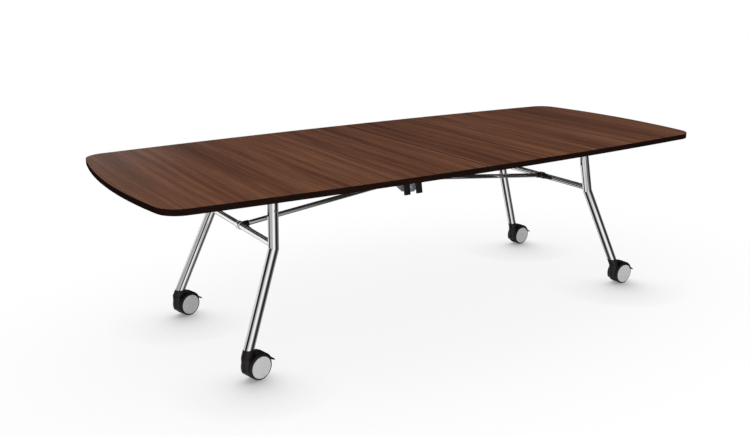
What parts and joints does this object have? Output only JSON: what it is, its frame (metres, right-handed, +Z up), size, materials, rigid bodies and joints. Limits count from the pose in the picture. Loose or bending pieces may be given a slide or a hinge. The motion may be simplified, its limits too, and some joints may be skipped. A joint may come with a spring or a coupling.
{
  "type": "folding conference table on castors",
  "caption": "Long boat-shaped conference table whose split walnut top folds upward at its middle over two chromed leg frames on braked twin-wheel castors.",
  "frame": {"origin": "on the floor under the middle of the table top", "axes": "+X along the table, +Y from the front side with the release handle to the rear side, +Z up"},
  "size_m": [2.63, 1.09, 0.73],
  "materials": {
    "veneer": "satin walnut veneer with a dark edge",
    "chrome_tube": "polished chrome",
    "bracket_steel": "satin steel",
    "black_plastic": "moulded matt black",
    "wheel_tread": "hard black tread",
    "silver_cover": "silver-lacquered plastic"
  },
  "bodies": {
    "leg_frame_left": {"cross_tube_left": "chrome_tube", "leg_front_left": "chrome_tube", "leg_pin_front_left": "bracket_steel", "foot_socket_front_left": "black_plastic", "leg_rear_left": "chrome_tube", "leg_pin_rear_left": "bracket_steel", "foot_socket_rear_left": "black_plastic"},
    "leaf_left": {"top_panel_left": "veneer", "hinge_leaf_left": "bracket_steel", "leg_mount_rail_left": "bracket_steel"},
    "tie_left": {"tie_bar_left": "chrome_tube", "tie_collar_left": "black_plastic"},
    "leg_frame_right": {"cross_tube_right": "chrome_tube", "leg_front_right": "chrome_tube", "leg_pin_front_right": "bracket_steel", "foot_socket_front_right": "black_plastic", "leg_rear_right": "chrome_tube", "leg_pin_rear_right": "bracket_steel", "foot_socket_rear_right": "black_plastic"},
    "leaf_right": {"top_panel_right": "veneer", "hinge_leaf_right": "bracket_steel", "leg_mount_rail_right": "bracket_steel"},
    "tie_right": {"tie_bar_right": "chrome_tube", "tie_collar_right": "black_plastic"},
    "folding_centre": {"hinge_beam": "bracket_steel", "tie_yoke": "bracket_steel", "hinge_rod_left": "bracket_steel", "hinge_rod_right": "bracket_steel", "tie_pin_left": "bracket_steel", "tie_pin_right": "bracket_steel"},
    "release": {"release_handle": "black_plastic", "latch_bar": "bracket_steel"},
    "castor_front_left": {"castor_body_front_left": "black_plastic"},
    "wheel_front_left_near": {"wheel_front_left_near": "wheel_tread", "wheel_cover_front_left_near": "silver_cover"},
    "wheel_front_left_far": {"wheel_front_left_far": "wheel_tread", "wheel_cover_front_left_far": "silver_cover"},
    "brake_front_left": {"brake_lever_front_left": "black_plastic", "brake_arm_front_left": "black_plastic"},
    "castor_rear_left": {"castor_body_rear_left": "black_plastic"},
    "wheel_rear_left_near": {"wheel_rear_left_near": "wheel_tread", "wheel_cover_rear_left_near": "silver_cover"},
    "wheel_rear_left_far": {"wheel_rear_left_far": "wheel_tread", "wheel_cover_rear_left_far": "silver_cover"},
    "brake_rear_left": {"brake_lever_rear_left": "black_plastic", "brake_arm_rear_left": "black_plastic"},
    "castor_front_right": {"castor_body_front_right": "black_plastic"},
    "wheel_front_right_near": {"wheel_front_right_near": "wheel_tread", "wheel_cover_front_right_near": "silver_cover"},
    "wheel_front_right_far": {"wheel_front_right_far": "wheel_tread", "wheel_cover_front_right_far": "silver_cover"},
    "brake_front_right": {"brake_lever_front_right": "black_plastic", "brake_arm_front_right": "black_plastic"},
    "castor_rear_right": {"castor_body_rear_right": "black_plastic"},
    "wheel_rear_right_near": {"wheel_rear_right_near": "wheel_tread", "wheel_cover_rear_right_near": "silver_cover"},
    "wheel_rear_right_far": {"wheel_rear_right_far": "wheel_tread", "wheel_cover_rear_right_far": "silver_cover"},
    "brake_rear_right": {"brake_lever_rear_right": "black_plastic", "brake_arm_rear_right": "black_plastic"}
  },
  "joints": [
    {"name": "fold", "type": "hinge", "parent": "leg_frame_left", "child": "leaf_left", "pos_m": [-0.7955, 0, 0.612], "axis": [0, -1, 0], "range_deg": [0, 76]},
    {"name": "centre_hinge_left", "type": "hinge", "parent": "leaf_left", "child": "folding_centre", "pos_m": [-0.05, 0, 0.694], "axis": [0, 1, 0], "range_deg": [0, 76]},
    {"name": "centre_hinge_right", "type": "hinge", "parent": "folding_centre", "child": "leaf_right", "pos_m": [0.05, 0, 0.694], "axis": [0, 1, 0], "range_deg": [0, 76]},
    {"name": "leg_pivot_right", "type": "hinge", "parent": "leaf_right", "child": "leg_frame_right", "pos_m": [0.7955, 0, 0.612], "axis": [0, -1, 0], "range_deg": [0, 76]},
    {"name": "tie_pivot_left", "type": "hinge", "parent": "folding_centre", "child": "tie_left", "pos_m": [-0.06089, 0, 0.567], "axis": [0, -1, 0], "range_deg": [0, 76]},
    {"name": "tie_pivot_right", "type": "hinge", "parent": "folding_centre", "child": "tie_right", "pos_m": [0.06089, 0, 0.567], "axis": [0, 1, 0], "range_deg": [0, 76]},
    {"name": "release_pull", "type": "hinge", "parent": "folding_centre", "child": "release", "pos_m": [0, -0.026, 0.597], "axis": [-1, 0, 0], "range_deg": [-8, 0]},
    {"name": "swivel_front_left", "type": "hinge", "parent": "leg_frame_left", "child": "castor_front_left", "pos_m": [-0.95895, -0.36402, 0.097], "axis": [0, 0, 1], "continuous": true},
    {"name": "roll_front_left_near", "type": "hinge", "parent": "castor_front_left", "child": "wheel_front_left_near", "pos_m": [-0.91502, -0.35428, 0.05], "axis": [-0.2164, 0.9763, 0], "continuous": true},
    {"name": "roll_front_left_far", "type": "hinge", "parent": "castor_front_left", "child": "wheel_front_left_far", "pos_m": [-0.91502, -0.35428, 0.05], "axis": [-0.2164, 0.9763, 0], "continuous": true},
    {"name": "brake_press_front_left", "type": "hinge", "parent": "castor_front_left", "child": "brake_front_left", "pos_m": [-0.88356, -0.3473, 0.07014], "axis": [-0.2164, 0.9763, 0], "range_deg": [0, 11]},
    {"name": "swivel_rear_left", "type": "hinge", "parent": "leg_frame_left", "child": "castor_rear_left", "pos_m": [-0.95895, 0.36402, 0.097], "axis": [0, 0, 1], "continuous": true},
    {"name": "roll_rear_left_near", "type": "hinge", "parent": "castor_rear_left", "child": "wheel_rear_left_near", "pos_m": [-0.91581, 0.3768, 0.05], "axis": [-0.284, 0.9588, 0], "continuous": true},
    {"name": "roll_rear_left_far", "type": "hinge", "parent": "castor_rear_left", "child": "wheel_rear_left_far", "pos_m": [-0.91581, 0.3768, 0.05], "axis": [-0.284, 0.9588, 0], "continuous": true},
    {"name": "brake_press_rear_left", "type": "hinge", "parent": "castor_rear_left", "child": "brake_rear_left", "pos_m": [-0.88491, 0.38595, 0.07014], "axis": [-0.284, 0.9588, 0], "range_deg": [0, 11]},
    {"name": "swivel_front_right", "type": "hinge", "parent": "leg_frame_right", "child": "castor_front_right", "pos_m": [0.95895, -0.36402, 0.097], "axis": [0, 0, 1], "continuous": true},
    {"name": "roll_front_right_near", "type": "hinge", "parent": "castor_front_right", "child": "wheel_front_right_near", "pos_m": [1.00394, -0.36519, 0.05], "axis": [0.0262, 0.9997, 0], "continuous": true},
    {"name": "roll_front_right_far", "type": "hinge", "parent": "castor_front_right", "child": "wheel_front_right_far", "pos_m": [1.00394, -0.36519, 0.05], "axis": [0.0262, 0.9997, 0], "continuous": true},
    {"name": "brake_press_front_right", "type": "hinge", "parent": "castor_front_right", "child": "brake_front_right", "pos_m": [1.03615, -0.36604, 0.07014], "axis": [0.0262, 0.9997, 0], "range_deg": [0, 11]},
    {"name": "swivel_rear_right", "type": "hinge", "parent": "leg_frame_right", "child": "castor_rear_right", "pos_m": [0.95895, 0.36402, 0.097], "axis": [0, 0, 1], "continuous": true},
    {"name": "roll_rear_right_near", "type": "hinge", "parent": "castor_rear_right", "child": "wheel_rear_right_near", "pos_m": [1.00387, 0.36676, 0.05], "axis": [-0.061, 0.9981, 0], "continuous": true},
    {"name": "roll_rear_right_far", "type": "hinge", "parent": "castor_rear_right", "child": "wheel_rear_right_far", "pos_m": [1.00387, 0.36676, 0.05], "axis": [-0.061, 0.9981, 0], "continuous": true},
    {"name": "brake_press_rear_right", "type": "hinge", "parent": "castor_rear_right", "child": "brake_rear_right", "pos_m": [1.03604, 0.36873, 0.07014], "axis": [-0.061, 0.9981, 0], "range_deg": [0, 11]}
  ],
  "couplings": [
    {"joint": "centre_hinge_left", "follows": "fold", "ratio": 1},
    {"joint": "centre_hinge_right", "follows": "fold", "ratio": 1},
    {"joint": "leg_pivot_right", "follows": "fold", "ratio": 1},
    {"joint": "tie_pivot_left", "follows": "fold", "ratio": 1},
    {"joint": "tie_pivot_right", "follows": "fold", "ratio": 1}
  ]
}
